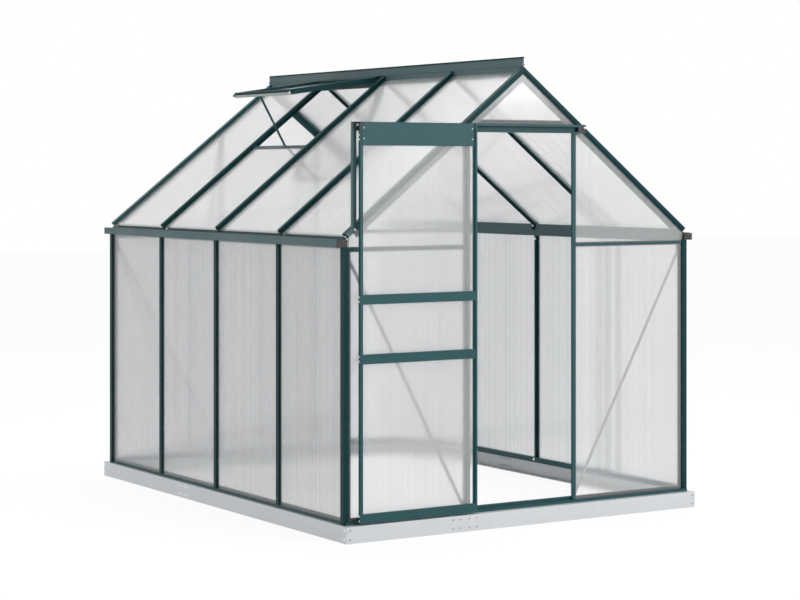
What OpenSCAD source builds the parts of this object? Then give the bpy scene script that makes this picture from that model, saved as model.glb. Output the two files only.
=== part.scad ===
// Walk-in greenhouse with a sliding door: steel base, aluminium frame, twin-wall glazing.
// The ridge runs along Y, the door gable faces -Y, and Z = 0 is the level ground under the base.

/* [Steel base] */
// Length of the base, along the ridge
base_l = 2440; // [2200:10:3600]
// Width of the base, across the gables
base_w = 1900; // [1700:10:2400]
// Height of the base channel
base_h = 72; // [50:1:120]
// Sheet thickness of the base channel
base_t = 1.5; // [1:0.1:3]
// Width of the top flange under the gable walls
gable_flange = 75; // [70:1:90]
// Width of the top flange under the long walls
side_flange = 45; // [42:1:60]
// Width of the foot flange that rests on the ground
foot_flange = 40; // [20:1:60]
// Place of the joint in the gable channels, from the middle
gable_joint = -348; // [-500:1:500]
// Place of the joint in the long channels, from the middle
side_joint = 310; // [-500:1:500]
// Length of the plate behind each joint
splice_l = 160; // [100:1:240]
// Leg of the angle in each corner of the base
corner_leg = 38; // [30:1:60]

/* [Frame] */
// Distance from the base edge to the outer faces of the long walls
side_inset = 11.5; // [10:0.5:20]
// Distance from the base edge to the outer faces of the gables
gable_inset = 45; // [42:1:55]
// Height of the long walls, from the base to the gutter
wall_h = 1178; // [900:1:1500]
// Slope of the roof in degrees
pitch = 38.2; // [32:0.1:42]
// Height of the roof line above the gutter's underside, over the wall face
heel = 50; // [49:1:65]
// Length of the bay at the back
back_bay = 578; // [500:1:650]
// Length of the bay with the roof vent
vent_bay = 580; // [500:1:650]
// Length of the bay in front of the vent
third_bay = 602; // [500:1:650]

/* [Profiles] */
// Side of the square corner posts
post_w = 26; // [24:1:36]
// Width of the outer face of studs and roof bars
bar_w = 24; // [20:1:30]
// Width of the inner flange of studs and roof bars
lip_w = 36; // [30:1:44]
// Wall of the hollow profiles
skin = 2; // [1.5:0.1:2.5]
// Width of the web between two panels
web = 6; // [4:1:8]
// Height of a stud above its panels
stud_out = 8; // [6:1:12]
// Height of a roof bar above its panels
roof_out = 13; // [10:1:18]
// Height of a roof bar above the roof line of the rafters
roof_bar_up = 4; // [0:0.5:5]
// Depth of the inner flange behind a panel
bar_in = 8; // [6:1:12]
// Depth of the gable rafters, down from the roof line
rafter_h = 24; // [22:1:36]
// Depth of the raised part of a rafter's face
rafter_face = 16; // [12:1:20]
// How far the rest of a rafter's face lies behind it
rafter_step = 4; // [2:1:6]
// Reach of a rafter's inner lip behind the gable panels
rafter_lip = 28; // [10:1:32]
// Reach of the header's inner lip behind the panel in the apex
header_lip = 18; // [10:1:24]
// Height of the thin bars at eaves height in the gables
eave_bar_h = 10; // [8:1:20]

/* [Glazing] */
// Thickness of the twin-wall panels
panel_t = 4; // [4:1:6]
// Play of a panel in its groove
panel_play = 1; // [0.6:0.1:2]
// Play between a panel's edge and the web
edge_play = 2; // [1:0.5:3]

/* [Sill] */
// Height of the sill's outer lip
sill_lip = 12; // [8:1:20]
// Height of the sill's inner box
sill_box = 25; // [20:1:34]
// Depth of the sill's inner box
sill_depth = 17; // [14:1:20]
// How far the gable sills stand out from the posts
sill_nose = 10; // [6:1:14]
// How far the lip of the long sills lies behind the face of the posts
side_lip_in = 6; // [2:1:8]

/* [Gutter and ridge] */
// Width of the gutter trough
gutter_w = 46; // [36:1:60]
// Height of the gutter's outer wall
gutter_h = 31; // [24:1:31]
// How far the gutter stands out from the posts
gutter_out = 29; // [20:1:40]
// Length of the plastic caps on the gutter's ends
gutter_cap = 14; // [6:1:30]
// Height of the upstand at the roof panels' feet above the gutter's outer wall
gutter_upstand = 7; // [4:1:10]
// Height of the ridge fin above the roof line
fin_h = 44.5; // [30:0.5:70]
// Thickness of the ridge fin, which the roof bars meet
fin_t = 6; // [4:1:8]
// Width of the bead along the fin that the vent hooks under
bead_w = 12; // [10:1:16]
// Height of the bead
bead_h = 8; // [5:1:10]
// Width of the box along the fin's foot
ridge_w = 24; // [20:1:40]
// Height of the box along the fin's foot
ridge_h = 8; // [6:1:20]

/* [Doorway] */
// Distance of the doorway's middle from the middle of the gable
door_shift = -11; // [-60:1:0]
// Clear width of the doorway
doorway_w = 560; // [480:1:620]
// Width of a door post's outer face
door_post_w = 17; // [15:1:24]
// How far a door post's inner part lies behind the edge of the doorway
door_post_set = 8; // [4:1:9]
// Distance between the middles of the two studs in the back gable
back_stud_gap = 584; // [500:1:640]
// Width of the outer face of the back studs
back_stud_w = 22; // [17:1:30]
// Height of the apex above the top of the door track
track_drop = 256; // [230:1:300]
// Height of the door track
track_h = 38.5; // [34:0.5:44]
// Depth of the door track
track_d = 24; // [22:1:28]
// Height of the slot along the front of the track
track_slot = 22; // [12:1:24]
// Height of the track's lower lip, below the slot
track_lip = 5.5; // [4:0.5:8]
// Length of the caps on the track's ends
plug_l = 14; // [6:1:18]
// Length of the stop in the slot at the track's right end
stop_l = 26; // [10:1:30]
// Width of the post at the track's outer end
track_post_w = 25; // [18:1:30]
// Depth of this post
track_post_d = 12; // [10:1:14]
// Width of the set-back strip along this post's face
track_post_step = 8; // [4:1:10]
// Distance from the long wall's outer face to the end of the track
track_inset = 60.5; // [40:0.5:80]
// Length of the plate that ties this post to the rafter
bracket_l = 70; // [50:1:120]

/* [Sliding door] */
// Width of the door
door_w = 600; // [560:1:680]
// How far the door runs past the doorway's right edge when it is shut
door_lap = 24; // [18:1:30]
// Distance from the long wall's outer face to the edge of the open door
door_inset = 57; // [40:1:80]
// Gap between the door and the base
door_gap = 6; // [6:1:12]
// Depth of the door frame
door_d = 14; // [12:1:15]
// Width of the tubes along the door's upright edges
stile_w = 10; // [8:1:16]
// Width of the lips beside these tubes that hold the panels
stile_lip = 8; // [7:1:10]
// How far the lips lie behind the face of the door
stile_step = 6.5; // [4:0.5:8]
// Height of the door's rails
rail_h = 41; // [30:1:50]
// Height of the lower middle rail's underside, from the ground
rail_low = 754; // [500:1:900]
// Height of the upper middle rail's underside, from the ground
rail_high = 1007; // [950:1:1300]
// Height of the plate across the head of the door
head_h = 101; // [90:1:110]
// Distance from the plate's left end to the door's edge
head_inset = 8; // [4:1:12]
// Thickness of the head plate
head_t = 2; // [1.5:0.1:3]
// Diameter of the door wheels
wheel_d = 24; // [20:1:26]
// Width of the door wheels
wheel_w = 8; // [6:1:10]
// Diameter of the wheel axles
axle_d = 6; // [5:1:8]
// Distance of a wheel axle from the door's edge
wheel_inset = 25; // [23:1:40]

/* [Roof vent] */
// Length of the vent down the slope
vent_l = 532; // [400:1:600]
// Depth of the vent frame
vent_d = 26; // [16:1:28]
// Width of the vent frame's bars
vent_bar = 20; // [16:1:26]
// Overlap of the vent on the roof bars beside it
vent_lap = 6; // [4:1:10]
// Angle of the vent below the horizontal, as it stands open
vent_tilt = 8.3; // [5:0.1:14]
// Width of the stay that holds the vent open
stay_w = 11; // [6:1:14]
// Thickness of the stay
stay_t = 5; // [2:0.5:8]
// Depth of the stay's lower end below the roof line
stay_past = 38; // [30:1:60]
// How far the stay's upper end lies behind the middle of the vent
stay_lean = 40; // [0:1:60]

/* [Bracing] */
// Width of the flat diagonal braces in the gables
brace_w = 16; // [12:1:24]
// Thickness of the braces
brace_t = 2; // [1.5:0.5:3]
// Distance of a brace's upper end below the gutter
brace_drop = 66; // [40:1:120]
// Height of a brace's lower end above the sill
brace_rise = 12; // [8:1:40]
// Height of the gusset that ties a corner post to its rafter
gusset_h = 120; // [90:1:160]

/* [Hidden] */
frame_col = "#2f4f50";
panel_col = "#e3e6e8";
steel_col = "#c9ccce";
plastic_col = "#3c3a3b";
// running clearance between a wheel and its track
seat = 0.3;
big = 4000;

half_l = base_l / 2 - gable_inset;
half_w = base_w / 2 - side_inset;
wall_top = base_h + wall_h;
apex_z = wall_top + heel + half_w * tan(pitch);
slot = panel_t + panel_play;
stud_back = half_l - post_w / 2 - back_bay;
stud_mid = stud_back - vent_bay;
stud_front = stud_mid - third_bay;
stud_ys = [stud_back, stud_mid, stud_front];
bay_edges = [half_l - post_w / 2, stud_back, stud_mid, stud_front, -half_l + post_w / 2];
sill_floor = 3;
stud_d = stud_out + slot + bar_in;
roof_bar_d = roof_out + slot + bar_in;
rafter_end = (half_w - 8) / cos(pitch);
rafter_lip_end = (half_w - 40) / cos(pitch);
gutter_end = -half_l + 10;
upstand_x = half_w - 12;
eave_bar_low = wall_top - 15.5;

doorway_left = door_shift - doorway_w / 2;
doorway_right = door_shift + doorway_w / 2;
door_post_web = 3;
door_post_lip = 22;
door_post_reach = door_post_set + door_post_web + edge_play;
back_studs_x = [-back_stud_gap / 2, back_stud_gap / 2];
track_top = apex_z - track_drop;
track_z = track_top - track_h;
track_front = -half_l - track_d;
door_front = -base_l / 2;
stile_front = door_front + head_t;
stile_back = stile_front + door_d;
door_left = -half_w + door_inset;
door_right = door_left + door_w;
door_groove = stile_back - slot - 1;
door_travel = doorway_right + door_lap - door_right;
track_left = -half_w + track_inset;
track_right = doorway_right + door_lap + 20;
door_foot = base_h + door_gap;
head_z = track_top - head_h;
door_panel_top = track_z - 4;
wheel_z = track_z + skin + seat + wheel_d / 2;

vent_mid = (stud_back + stud_mid) / 2;
vent_w = vent_bay - bar_w + 2 * vent_lap;
vent_hinge_x = fin_t / 2 + 1;
vent_hinge_z = apex_z + 3.5;
vent_foot_s = vent_hinge_x / cos(pitch) + vent_l;
vent_top = 50;
crossbar_w = 14;
crossbar_s = vent_foot_s - 2;

// Height of the roof line, the top face of the bars, at a distance x from the ridge
function roof_z(x) = apex_z - abs(x) * tan(pitch);

// A box given by its two corners
module box(low, high) {
    translate(low) cube(high - low);
}

// The same piece on both long sides
module both_sides() {
    children();
    mirror([1, 0, 0]) children();
}

// The same piece on both gables
module both_gables() {
    children();
    mirror([0, 1, 0]) children();
}

// Puts a piece on a roof slope: X runs down the slope from the apex, Z points out of the roof
module on_slope(side) {
    translate([0, 0, apex_z])
        mirror([side < 0 ? 1 : 0, 0, 0])
            rotate([0, pitch, 0])
                children();
}

// Stands a flat outline, drawn in X and Z, on the plane y and gives it a depth towards +Y
module upright(y, depth) {
    translate([0, y + depth, 0])
        rotate([90, 0, 0])
            linear_extrude(depth)
                children();
}

// Outer part of a bar: a hollow box of width w that stands out by h, its face on the line y = 0
module bar_outer(w, h) {
    difference() {
        translate([-w / 2, -h]) square([w, h]);
        translate([-w / 2 + skin, -h + skin]) square([w - 2 * skin, h - 2 * skin]);
    }
}

// Inner part of a bar that stands out by h: the web between the panels and the flange behind them
module bar_inner(h) {
    translate([-web / 2, -h - slot]) square([web, slot]);
    translate([-lip_w / 2, -h - slot - skin]) square([lip_w, skin]);
    translate([-web, -h - slot - bar_in]) square([2 * web, bar_in]);
}

/* ---------- steel base ---------- */

// One gable channel with its web on the outside, from x0 to x1
module gable_channel(x0, x1) {
    y = -base_l / 2;
    box([x0, y, 0], [x1, y + base_t, base_h]);
    box([x0, y, base_h - base_t], [x1, y + gable_flange, base_h]);
    box([x0, y, 0], [x1, y + foot_flange, base_t]);
}

// The two lengths of a gable channel, butted at the joint
module gable_channels() {
    color(steel_col) {
        gable_channel(-base_w / 2, gable_joint - seat);
        gable_channel(gable_joint + seat, base_w / 2);
    }
}

// One long channel from y0 to y1, its flanges between those of the gable channels
module side_channel(y0, y1) {
    x = base_w / 2;
    inner = base_l / 2;
    box([x - base_t, y0, base_t], [x, y1, base_h - base_t]);
    box([x - side_flange, max(y0, -inner + gable_flange), base_h - base_t],
        [x, min(y1, inner - gable_flange), base_h]);
    box([x - foot_flange, max(y0, -inner + foot_flange), 0],
        [x, min(y1, inner - foot_flange), base_t]);
}

// The two lengths of a long channel
module side_channels() {
    end = base_l / 2 - base_t;
    color(steel_col) {
        side_channel(-end, side_joint - seat);
        side_channel(side_joint + seat, end);
    }
}

module base_front() {
    gable_channels();
}

module base_back() {
    mirror([0, 1, 0]) gable_channels();
}

module base_left() {
    mirror([1, 0, 0]) side_channels();
}

module base_right() {
    side_channels();
}

module base_corner_angles() {
    x = base_w / 2 - base_t;
    y = base_l / 2 - base_t;
    top = base_h - base_t;
    color(steel_col)
        both_sides() both_gables() {
            box([x - base_t, -y, base_t], [x, -y + corner_leg, top]);
            box([x - corner_leg, -y, base_t], [x, -y + base_t, top]);
        }
}

module base_splice_plates() {
    x = base_w / 2 - base_t;
    y = base_l / 2 - base_t;
    top = base_h - base_t;
    color(steel_col) {
        both_gables()
            box([gable_joint - splice_l / 2, -y, base_t], [gable_joint + splice_l / 2, -y + base_t, top]);
        both_sides()
            box([x - base_t, side_joint - splice_l / 2, base_t], [x, side_joint + splice_l / 2, top]);
    }
}

/* ---------- sills ---------- */

// Floor and outer lip of a sill: X points outwards from the wall face, Y up from the base
module sill_lip_section(nose) {
    groove = -stud_out - slot;
    translate([groove, 0]) square([nose - groove, sill_floor]);
    translate([-stud_out + panel_play / 2, 0]) square([nose + stud_out - panel_play / 2, sill_lip]);
}

// Hollow box along the inside of a sill
module sill_box_section() {
    translate([-stud_out - slot - sill_depth, 0])
        difference() {
            square([sill_depth, sill_box]);
            translate([skin, skin]) square([sill_depth - 2 * skin, sill_box - 2 * skin]);
        }
}

// One long sill between the corner posts
module side_sill() {
    color(frame_col)
        translate([half_w, half_l - post_w, base_h])
            rotate([90, 0, 0])
                linear_extrude(2 * (half_l - post_w)) {
                    sill_lip_section(-side_lip_in);
                    sill_box_section();
                }
}

// One gable sill between the corner posts, with a nose that runs on in front of them
module gable_sill() {
    lip_half = half_w - post_w;
    box_half = half_w - stud_out - slot - sill_depth - seat;
    color(frame_col) {
        translate([0, -half_l, base_h])
            rotate([90, 0, 90]) {
                translate([0, 0, -lip_half])
                    linear_extrude(2 * lip_half) mirror([1, 0]) sill_lip_section(sill_nose);
                translate([0, 0, -box_half])
                    linear_extrude(2 * box_half) mirror([1, 0]) sill_box_section();
            }
        box([-half_w + side_lip_in, -half_l - sill_nose, base_h],
            [half_w - side_lip_in, -half_l, base_h + sill_lip]);
    }
}

module sill_front() {
    gable_sill();
}

module sill_back() {
    mirror([0, 1, 0]) gable_sill();
}

module sill_left() {
    mirror([1, 0, 0]) side_sill();
}

module sill_right() {
    side_sill();
}

/* ---------- posts and studs ---------- */

// Square part of a corner post, its outer corner at the origin
module post_square() {
    core = stud_out + slot + 0.5;
    difference() {
        square([post_w, post_w]);
        translate([skin, skin]) square([stud_out + slot - 2 * skin, stud_out + slot - 2 * skin]);
        translate([core, stud_out]) square([post_w, slot]);
        translate([stud_out, core]) square([slot, post_w]);
    }
}

// The two inner lips of a corner post
module post_lips() {
    lip_at = stud_out + slot;
    translate([lip_at, lip_at]) square([post_w + 16 - lip_at, bar_in]);
    translate([lip_at, lip_at]) square([bar_in, post_w + 16 - lip_at]);
}

// One corner post, in the corner at -X and -Y
module corner_post() {
    translate([-half_w, -half_l, base_h]) {
        linear_extrude(wall_h) post_square();
        translate([0, 0, sill_box]) linear_extrude(wall_h - sill_box) post_lips();
    }
}

module corner_posts() {
    color(frame_col) both_sides() both_gables() corner_post();
}

// The studs of one long wall; their feet stand on the sill's lip and box
module side_studs() {
    color(frame_col)
        for (y = stud_ys)
            translate([half_w, y, base_h])
                rotate(-90) {
                    translate([0, 0, sill_lip])
                        linear_extrude(wall_h - sill_lip) bar_outer(bar_w, stud_out);
                    translate([0, 0, sill_box])
                        linear_extrude(wall_h - sill_box) bar_inner(stud_out);
                }
}

module side_studs_left() {
    mirror([1, 0, 0]) side_studs();
}

module side_studs_right() {
    side_studs();
}

// The part of a gable upright that stays under the rafters, for a piece lowered by drop
module under_rafters(drop) {
    intersection() {
        children();
        upright(-half_l - 1, stud_d + 2) gable_outline(drop + seat);
    }
}

// Outer part of a door post; X runs from the edge of the doorway, Y into the building
module door_post_outer() {
    difference() {
        square([door_post_w, stud_out]);
        translate([skin, skin]) square([door_post_w - 2 * skin, stud_out - 2 * skin]);
    }
}

// Web and inner flange of a door post
module door_post_inner() {
    translate([door_post_set, stud_out]) square([door_post_web, slot]);
    translate([door_post_set, stud_out + slot]) square([door_post_lip, skin]);
    translate([door_post_set, stud_out + slot]) square([bar_in, bar_in]);
}

// The door post beside the edge x of the doorway; side is 1 on the right of the doorway, -1 on its left
module door_post(x, side) {
    under_rafters(rafter_h)
        translate([x, -half_l, base_h + sill_lip])
            mirror([side < 0 ? 1 : 0, 0, 0])
                linear_extrude(track_z - base_h - sill_lip) door_post_outer();
    under_rafters(rafter_h + rafter_lip)
        translate([x, -half_l, base_h + sill_box])
            mirror([side < 0 ? 1 : 0, 0, 0])
                linear_extrude(track_z - base_h - sill_box) door_post_inner();
}

module door_posts() {
    color(frame_col) {
        door_post(doorway_right, 1);
        door_post(doorway_left, -1);
    }
}

module back_studs() {
    color(frame_col)
        mirror([0, 1, 0])
            for (x = back_studs_x) {
                under_rafters(rafter_h)
                    translate([x, -half_l, base_h + sill_lip])
                        rotate(180) linear_extrude(apex_z - base_h) bar_outer(back_stud_w, stud_out);
                under_rafters(rafter_h + rafter_lip)
                    translate([x, -half_l, base_h + sill_box])
                        rotate(180) linear_extrude(apex_z - base_h) bar_inner(stud_out);
            }
}

/* ---------- gutters ---------- */

// Section of the wall plate and gutter on the +X side
module gutter_section() {
    inner = half_w + gutter_out - gutter_w;
    outer = half_w + gutter_out;
    translate([inner, wall_top]) square([gutter_w, skin]);
    translate([outer - skin, wall_top]) square([skin, gutter_h]);
    translate([outer - 2 * skin, wall_top + gutter_h - skin]) square([2 * skin, skin]);
    translate([inner, wall_top]) square([skin, gutter_h - 4]);
    translate([upstand_x, wall_top]) square([skin, gutter_h + gutter_upstand]);
}

// Upright web inside the wall, up to the underside of the panels
module wall_plate_section() {
    x = half_w - stud_d - 10;
    under = (roof_out + slot) / cos(pitch) + seat;
    polygon([[x, wall_top - 9], [x + skin, wall_top - 9],
             [x + skin, roof_z(x + skin) - under], [x, roof_z(x) - under]]);
    translate([x, wall_top]) square([stud_d, skin]);
}

module gutter() {
    color(frame_col) {
        upright(gutter_end, -2 * gutter_end) gutter_section();
        difference() {
            upright(-half_l + post_w, 2 * (half_l - post_w)) wall_plate_section();
            for (y = stud_ys)
                box([0, y - lip_w / 2 - 1, wall_top + 20], [half_w, y + lip_w / 2 + 1, big]);
        }
    }
}

module gutter_left() {
    mirror([1, 0, 0]) gutter();
}

module gutter_right() {
    gutter();
}

module gutter_end_caps() {
    inner = half_w + gutter_out - gutter_w;
    outer = half_w + gutter_out;
    color(plastic_col)
        both_sides() both_gables()
            upright(gutter_end - gutter_cap, gutter_cap)
                polygon([[inner, wall_top], [outer, wall_top], [outer, wall_top + gutter_h],
                         [outer - 14, wall_top + gutter_h], [outer - 22, wall_top + gutter_h - 6],
                         [inner + 10, wall_top + gutter_h], [inner, wall_top + gutter_h]]);
}

/* ---------- roof ---------- */

// Space on the +X side of the plane at x
module beyond(x) {
    translate([x, -big / 2, 0]) cube([big, big, big]);
}

// Section of a gable rafter: X runs into the building from the gable's face, Y is out of the roof
module rafter_section() {
    groove = stud_out;
    difference() {
        translate([0, -rafter_h]) square([post_w, rafter_h]);
        translate([-1, -rafter_h - 1]) square([rafter_step + 1, rafter_h - rafter_face + 1]);
        translate([groove, -rafter_h - 1]) square([slot, 13]);
        translate([post_w - 11, -roof_out - slot]) square([post_w, slot]);
    }
}

// Inner lip of a gable rafter, straight behind the gable's panels
module rafter_lip_section() {
    translate([stud_out + slot, -rafter_h - rafter_lip]) square([3, rafter_lip + 1]);
}

// The two rafters of the gable at -Y
module gable_rafters() {
    color(frame_col)
        for (side = [-1, 1])
            mirror([side < 0 ? 1 : 0, 0, 0])
                intersection() {
                    on_slope(1)
                        rotate([90, 0, 90]) {
                            linear_extrude(rafter_end)
                                translate([-half_l, 0]) rafter_section();
                            linear_extrude(rafter_lip_end)
                                translate([-half_l, 0]) rafter_lip_section();
                        }
                    beyond(0.5);
                }
}

module gable_rafters_front() {
    gable_rafters();
}

module gable_rafters_back() {
    mirror([0, 1, 0]) gable_rafters();
}

// The three bars of one roof slope
module roof_bars() {
    color(frame_col)
        for (y = stud_ys)
            intersection() {
                on_slope(1)
                    translate([0, y, 0])
                        rotate([90, 0, 90])
                            linear_extrude(rafter_end) {
                                translate([0, roof_bar_up]) bar_outer(bar_w, roof_out + roof_bar_up);
                                bar_inner(roof_out);
                            }
                beyond(fin_t / 2);
            }
}

module roof_bars_left() {
    mirror([1, 0, 0]) roof_bars();
}

module roof_bars_right() {
    roof_bars();
}

module ridge() {
    foot_top = apex_z - roof_bar_d / cos(pitch) - ridge_w / 2 * tan(pitch);
    run = half_l - post_w - seat;
    color(frame_col) {
        upright(-half_l + 5, 2 * half_l - 10) {
            translate([-fin_t / 2, apex_z]) square([fin_t, fin_h]);
            translate([-bead_w / 2, apex_z + 4]) square([bead_w, bead_h]);
        }
        upright(-run, 2 * run) {
            translate([-fin_t / 2, foot_top - 1]) square([fin_t, apex_z - foot_top + 2]);
            difference() {
                translate([-ridge_w / 2, foot_top - ridge_h]) square([ridge_w, ridge_h]);
                translate([-ridge_w / 2 + skin, foot_top - ridge_h + skin])
                    square([ridge_w - 2 * skin, ridge_h - 2 * skin]);
            }
        }
    }
}

/* ---------- gable bars ---------- */

// Outline of a gable, from the base up to the roof line lowered by drop
module gable_outline(drop) {
    low = drop / cos(pitch);
    polygon([[-half_w, base_h], [half_w, base_h], [half_w, roof_z(half_w) - low],
             [0, apex_z - low], [-half_w, roof_z(half_w) - low]]);
}

// The header over the doorway, between the rafters, with the shelf in front that carries the track
module door_header() {
    color(frame_col) {
        upright(-half_l, stud_out)
            intersection() {
                translate([-half_w, track_z]) square([2 * half_w, track_h]);
                gable_outline(rafter_h + seat);
            }
        upright(-half_l + stud_out, slot)
            intersection() {
                translate([-half_w, track_z + 10]) square([2 * half_w, track_h - 20]);
                gable_outline(rafter_h + seat);
            }
        upright(-half_l + stud_out + slot, bar_in)
            intersection() {
                translate([-half_w, track_z + seat]) square([2 * half_w, track_h + header_lip]);
                gable_outline(rafter_h + rafter_lip + seat);
            }
    }
}

// A thin bar at eaves height in the gable at -Y: its face runs from x0 to x1, its flange from in0 to in1
module eave_bar(x0, x1, in0, in1) {
    z = eave_bar_low;
    box([x0, -half_l + stud_out - 3, z], [x1, -half_l + stud_out, z + eave_bar_h]);
    box([x0, -half_l + stud_out, z + eave_bar_h / 2 - 1.5],
        [x1, -half_l + stud_out + slot, z + eave_bar_h / 2 + 1.5]);
    box([in0, -half_l + stud_out + slot, z - 6],
        [in1, -half_l + stud_out + slot + skin, z + eave_bar_h + 6]);
}

module eave_bars() {
    outer = half_w - post_w - seat;
    outer_in = half_w - post_w - 16 - seat;
    post = door_post_w + seat;
    post_in = door_post_set + door_post_lip + seat;
    stud = back_stud_gap / 2;
    stud_edge = back_stud_w / 2 + seat;
    stud_edge_in = lip_w / 2 + seat;
    color(frame_col) {
        eave_bar(-outer, doorway_left - post, -outer_in, doorway_left - post_in);
        eave_bar(doorway_right + post, outer, doorway_right + post_in, outer_in);
        mirror([0, 1, 0]) {
            eave_bar(-outer, -stud - stud_edge, -outer_in, -stud - stud_edge_in);
            eave_bar(stud_edge - stud, stud - stud_edge, stud_edge_in - stud, stud - stud_edge_in);
            eave_bar(stud + stud_edge, outer, stud + stud_edge_in, outer_in);
        }
    }
}

// Gussets behind the gables that tie each corner post to its rafter
module corner_gussets() {
    x0 = half_w - post_w - 16;
    x1 = x0 + 16;
    x2 = half_w - stud_d - 14;
    z0 = wall_top - gusset_h / 2;
    z1 = wall_top - 12;
    color(frame_col)
        both_sides() both_gables()
            upright(-half_l + post_w, brace_t)
                polygon([[x0, z0], [x1, z0], [x1, z1], [x2, z1], [x2, roof_z(x2) - 30], [x0, roof_z(x0) - 30]]);
}

// One flat diagonal brace behind the gable at -Y, from a corner post's head to the foot of a door post
module gable_brace(x_head, x_foot) {
    z_head = wall_top - brace_drop;
    z_foot = base_h + sill_box + brace_rise;
    y = -half_l + stud_d;
    hull() {
        translate([x_head, y, z_head]) rotate([-90, 0, 0]) cylinder(h = brace_t, d = brace_w, $fn = 24);
        translate([x_foot, y, z_foot]) rotate([-90, 0, 0]) cylinder(h = brace_t, d = brace_w, $fn = 24);
    }
}

module gable_braces() {
    head = half_w - post_w - 20;
    front_foot = door_post_set + door_post_lip - 2;
    back_foot = (back_stud_gap + lip_w) / 2 - 2;
    color(steel_col) {
        gable_brace(-head, doorway_left - front_foot);
        gable_brace(head, doorway_right + front_foot);
        mirror([0, 1, 0]) {
            gable_brace(-head, -back_foot);
            gable_brace(head, back_foot);
        }
    }
}

/* ---------- door track ---------- */

// Section of the track: a box with a slot along its front for the wheels
module track_section() {
    difference() {
        square([track_d, track_h]);
        translate([skin, skin]) square([track_d - 2 * skin, track_h - 2 * skin]);
        translate([-1, track_lip]) square([skin + 2, track_slot]);
    }
}

module door_track() {
    color(frame_col)
        translate([track_left, track_front, track_z])
            rotate([90, 0, 90])
                linear_extrude(track_right - track_left)
                    track_section();
}

// Caps on both ends of the track, the left one in front of the post, and the stop behind the right one
module track_end_plugs() {
    post_face = -half_l - track_post_d - seat;
    wall = skin + seat;
    color(plastic_col) {
        box([track_left - plug_l, track_front, track_z], [track_left, post_face, track_top]);
        box([track_right, track_front, track_z], [track_right + plug_l, -half_l - seat, track_top]);
        box([track_right - stop_l, track_front + skin, track_z + wall],
            [track_right, -half_l - wall, track_top - wall]);
    }
}

// Hollow post behind the track's outer end, on a plate along the face of the rafter
module track_post() {
    x1 = track_left;
    x0 = x1 - track_post_w;
    front = -half_l - track_post_d;
    foot = roof_z(x0 + track_post_w / 2) - 12;
    color(frame_col) {
        difference() {
            box([x0, front, foot], [x1, -half_l - seat, track_top]);
            box([x1 - track_post_step, front - 1, foot - 1], [x1 + 1, front + track_post_d / 2, big]);
            box([x0 + skin, front + skin, foot - 1],
                [x1 - track_post_step - skin, -half_l - seat - skin, big]);
        }
        on_slope(-1)
            box([rafter_end - bracket_l, front, -rafter_face - 2], [rafter_end, -half_l, -skin]);
    }
}

/* ---------- glazing ---------- */

// Outer face of the panels in the long walls, measured from the middle
panel_x = half_w - stud_out - panel_play;
panel_foot = base_h + sill_floor;

module side_panels() {
    reach = web / 2 + edge_play;
    color(panel_col)
        for (i = [0 : len(bay_edges) - 2]) {
            y1 = bay_edges[i] - reach;
            y0 = bay_edges[i + 1] + reach;
            box([panel_x - panel_t, y0, panel_foot], [panel_x, y1, wall_top]);
        }
}

module side_panels_left() {
    mirror([1, 0, 0]) side_panels();
}

module side_panels_right() {
    side_panels();
}

// A roof panel between two bars, from the ridge body or the distance s0 down to the gutter's upstand
module roof_panel(y0, y1, s0) {
    reach = web / 2 + edge_play;
    intersection() {
        on_slope(1)
            box([s0, y0 + reach, -roof_out - slot], [rafter_end, y1 - reach, -roof_out - slot + panel_t]);
        beyond(fin_t / 2 + panel_play);
    }
}

module roof_panels_left() {
    color(panel_col)
        mirror([1, 0, 0])
            for (i = [0 : len(bay_edges) - 2])
                roof_panel(bay_edges[i + 1], bay_edges[i], i == 1 ? crossbar_s + crossbar_w + 1 : 0);
}

module roof_panels_right() {
    color(panel_col)
        for (i = [0 : len(bay_edges) - 2])
            roof_panel(bay_edges[i + 1], bay_edges[i], 0);
}

// A panel of the gable at -Y, cut from the gable's outline between x0..x1 and z0..z1
module gable_panel(x0, x1, z0, z1) {
    upright(-half_l + stud_out + panel_play, panel_t)
        intersection() {
            translate([x0, z0]) square([x1 - x0, z1 - z0]);
            gable_outline(rafter_h - 10);
        }
}

module gable_panels_front() {
    wall = half_w - stud_out - slot - 3;
    eave = half_w + gutter_out - gutter_w - edge_play;
    bar_low = eave_bar_low + eave_bar_h / 2 - 2.5;
    bar_high = bar_low + 5;
    track_low = track_z + 9;
    track_high = track_top - 9;
    color(panel_col) {
        gable_panel(-wall, doorway_left - door_post_reach, panel_foot, bar_low);
        gable_panel(doorway_right + door_post_reach, wall, panel_foot, bar_low);
        gable_panel(-eave, doorway_left - door_post_reach, bar_high, track_low);
        gable_panel(doorway_right + door_post_reach, eave, bar_high, track_low);
        gable_panel(-half_w, half_w, track_high, apex_z);
    }
}

module gable_panels_back() {
    reach = web / 2 + edge_play;
    stud = back_stud_gap / 2;
    wall = half_w - stud_out - slot - 3;
    eave = half_w + gutter_out - gutter_w - edge_play;
    bar_low = eave_bar_low + eave_bar_h / 2 - 2.5;
    bar_high = bar_low + 5;
    color(panel_col)
        mirror([0, 1, 0]) {
            gable_panel(-wall, -stud - reach, panel_foot, bar_low);
            gable_panel(-stud + reach, stud - reach, panel_foot, bar_low);
            gable_panel(stud + reach, wall, panel_foot, bar_low);
            gable_panel(-eave, -stud - reach, bar_high, apex_z);
            gable_panel(-stud + reach, stud - reach, bar_high, apex_z);
            gable_panel(stud + reach, eave, bar_high, apex_z);
        }
}

/* ---------- roof vent ---------- */

// Puts a piece on the open vent: X runs from the hinge to the foot, Z points out of the vent
module on_vent() {
    mirror([1, 0, 0])
        translate([vent_hinge_x, vent_mid, vent_hinge_z])
            rotate([0, vent_tilt, 0])
                children();
}

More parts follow.
